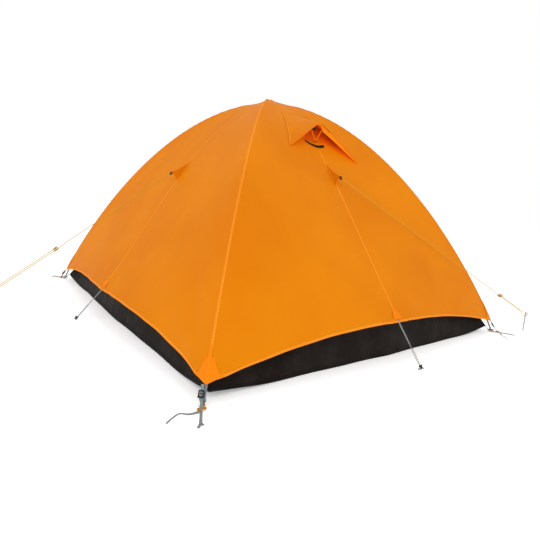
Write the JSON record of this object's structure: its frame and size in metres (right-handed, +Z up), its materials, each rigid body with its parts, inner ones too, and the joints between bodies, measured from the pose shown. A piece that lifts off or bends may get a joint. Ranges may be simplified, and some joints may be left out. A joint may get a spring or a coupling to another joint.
{
  "type": "tent on poles",
  "caption": "Dome tent on two crossing poles: flysheet with vent hood, inner tent, tub floor, zipped doors, tie-outs and guy lines.",
  "frame": {"origin": "middle of the groundsheet, on the ground", "axes": "+Z up; the door faces +X; the vent hood and the longer guy line face -Y; the long sides run along Y"},
  "size_m": [2.5724, 2.405, 1.2465],
  "materials": {
    "fly_fabric": "coated polyester taffeta, slight sheen",
    "inner_fabric": "breathable nylon",
    "floor_fabric": "coated oxford, dark grey",
    "webbing": "woven grey webbing",
    "black_plastic": "moulded acetal",
    "gold_alloy": "gold anodised",
    "pole_alloy": "satin anodised",
    "guy_cord": "braided cord, pale yellow"
  },
  "bodies": {
    "base": {"groundsheet": "floor_fabric", "tub_wall_front": "floor_fabric", "tub_wall_back": "floor_fabric", "tub_wall_left": "floor_fabric", "tub_wall_right": "floor_fabric", "inner_front_wall": "inner_fabric", "inner_back_wall": "inner_fabric", "inner_left_wall": "inner_fabric", "inner_door_wall": "inner_fabric", "pole_a": "pole_alloy", "pole_b": "pole_alloy", "pole_hub": "black_plastic", "foot_web_near": "webbing", "foot_web_left": "webbing", "foot_web_far": "webbing", "foot_web_right": "webbing", "foot_grommet_near": "gold_alloy", "foot_grommet_left": "gold_alloy", "foot_grommet_far": "gold_alloy", "foot_grommet_right": "gold_alloy", "tieout_peg_front": "black_plastic", "tieout_peg_back": "black_plastic", "tieout_peg_left": "black_plastic", "tieout_peg_right": "black_plastic", "guy_peg_front": "gold_alloy", "guy_peg_left": "gold_alloy"},
    "fly": {"fly_front_panel": "fly_fabric", "fly_back_panel": "fly_fabric", "fly_left_panel": "fly_fabric", "fly_door_panel": "fly_fabric", "vent_hood": "fly_fabric", "fly_tab_near": "webbing", "fly_tab_left": "webbing", "fly_tab_far": "webbing", "fly_tab_right": "webbing", "fly_strap_near": "webbing", "fly_strap_left": "webbing", "fly_strap_far": "webbing", "fly_strap_right": "webbing", "tieout_front": "webbing", "tieout_back": "webbing", "tieout_left": "webbing", "tieout_right": "webbing", "guy_fin_front": "fly_fabric", "guy_fin_left": "fly_fabric", "guy_toggle_front": "black_plastic", "guy_toggle_left": "black_plastic", "guy_line_front": "guy_cord", "guy_line_left": "guy_cord"},
    "fly_door": {"fly_door_flap": "fly_fabric"},
    "inner_door": {"inner_door_flap": "inner_fabric"},
    "zip": {"fly_zip_slider": "black_plastic"},
    "prop": {"vent_prop": "fly_fabric"},
    "lock_near": {"ladder_lock_near": "black_plastic"},
    "lock_left": {"ladder_lock_left": "black_plastic"},
    "lock_far": {"ladder_lock_far": "black_plastic"},
    "lock_right": {"ladder_lock_right": "black_plastic"},
    "slider_front": {"guy_slider_front": "black_plastic"},
    "slider_left": {"guy_slider_left": "black_plastic"}
  },
  "joints": [
    {"name": "fly_lift", "type": "slide", "parent": "base", "child": "fly", "axis": [0, 0, 1], "range_m": [0, 1.3]},
    {"name": "fly_door_swing", "type": "hinge", "parent": "fly", "child": "fly_door", "pos_m": [0.94496, 0.6922, 0.13285], "axis": [-0.4261, -0.5763, 0.6973], "range_deg": [0, 150]},
    {"name": "inner_door_swing", "type": "hinge", "parent": "base", "child": "inner_door", "pos_m": [0.84249, 0.49812, 0.2002], "axis": [-0.4161, -0.5822, 0.6984], "range_deg": [0, 90]},
    {"name": "zip_slide", "type": "slide", "parent": "fly", "child": "zip", "axis": [-0.5467, 0.0003, 0.8373], "range_m": [0, 0.6]},
    {"name": "vent_prop_fold", "type": "hinge", "parent": "fly", "child": "prop", "pos_m": [0, -0.449, 0.955], "axis": [1, 0, 0], "range_deg": [0, 105]},
    {"name": "strap_adjust_near", "type": "slide", "parent": "fly", "child": "lock_near", "axis": [0.3909, 0.445, 0.8057], "range_m": [-0.01, 0]},
    {"name": "strap_adjust_left", "type": "slide", "parent": "fly", "child": "lock_left", "axis": [0.3909, -0.445, 0.8057], "range_m": [-0.01, 0]},
    {"name": "strap_adjust_far", "type": "slide", "parent": "fly", "child": "lock_far", "axis": [-0.3909, -0.445, 0.8057], "range_m": [-0.01, 0]},
    {"name": "strap_adjust_right", "type": "slide", "parent": "fly", "child": "lock_right", "axis": [-0.3909, 0.445, 0.8057], "range_m": [-0.01, 0]},
    {"name": "guy_adjust_front", "type": "slide", "parent": "fly", "child": "slider_front", "axis": [0.8079, -0.3489, -0.475], "range_m": [-0.08, 0.08]},
    {"name": "guy_adjust_left", "type": "slide", "parent": "fly", "child": "slider_left", "axis": [-0.74, 0.2741, -0.6143], "range_m": [-0.08, 0.08]}
  ],
  "couplings": [
    {"joint": "inner_door_swing", "follows": "fly_door_swing", "ratio": 0.6}
  ]
}
